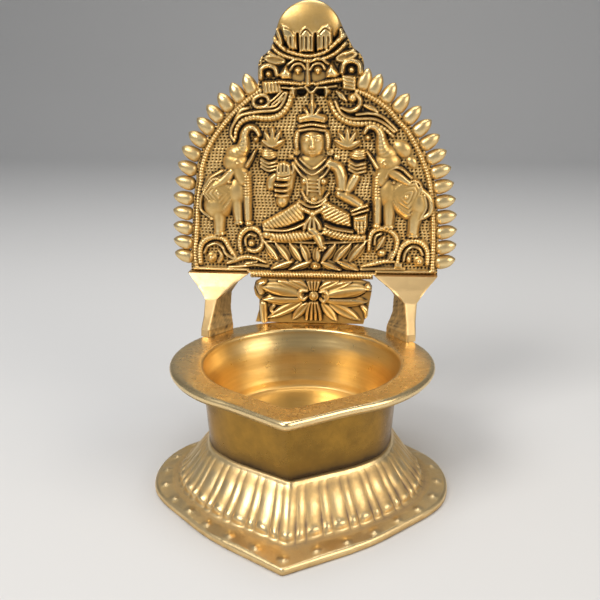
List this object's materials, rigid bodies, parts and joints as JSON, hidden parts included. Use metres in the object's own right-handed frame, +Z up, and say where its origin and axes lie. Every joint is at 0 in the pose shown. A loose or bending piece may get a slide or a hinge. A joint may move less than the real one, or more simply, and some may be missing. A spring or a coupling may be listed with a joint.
{
  "type": "kamakshi oil lamp",
  "caption": "Cast brass temple oil lamp with a fluted pointed foot, an oil bowl with a spout rim, and an upright relief back plate on gusset brackets.",
  "frame": {"origin": "middle of the lamp's box, on the surface that the foot rests on", "axes": "+Z up, +Y to the back where the relief plate stands, the spout points to -Y, +X to the right seen from the front"},
  "size_m": [0.1026, 0.102, 0.15],
  "materials": {
    "foot_brass": "satin cast, polished on the high spots",
    "bowl_brass": "turned inside, satin rim, dark toned cast outside",
    "plate_brass": "sand cast, polished relief with dark patina in the recesses",
    "bracket_brass": "filed bright in front, rough cast behind",
    "fastener_brass": "plain machined"
  },
  "bodies": {
    "root": {"foot_casting": "foot_brass", "oil_bowl": "bowl_brass", "clamp_washer": "fastener_brass", "clamp_nut": "fastener_brass", "left_bracket": "bracket_brass", "right_bracket": "bracket_brass", "flower_panel": "plate_brass", "back_plate": "plate_brass", "right_bracket_rivet": "fastener_brass", "left_bracket_rivet": "fastener_brass", "right_panel_rivet": "fastener_brass", "left_panel_rivet": "fastener_brass", "right_plate_pin": "fastener_brass", "left_plate_pin": "fastener_brass"}
  },
  "joints": []
}
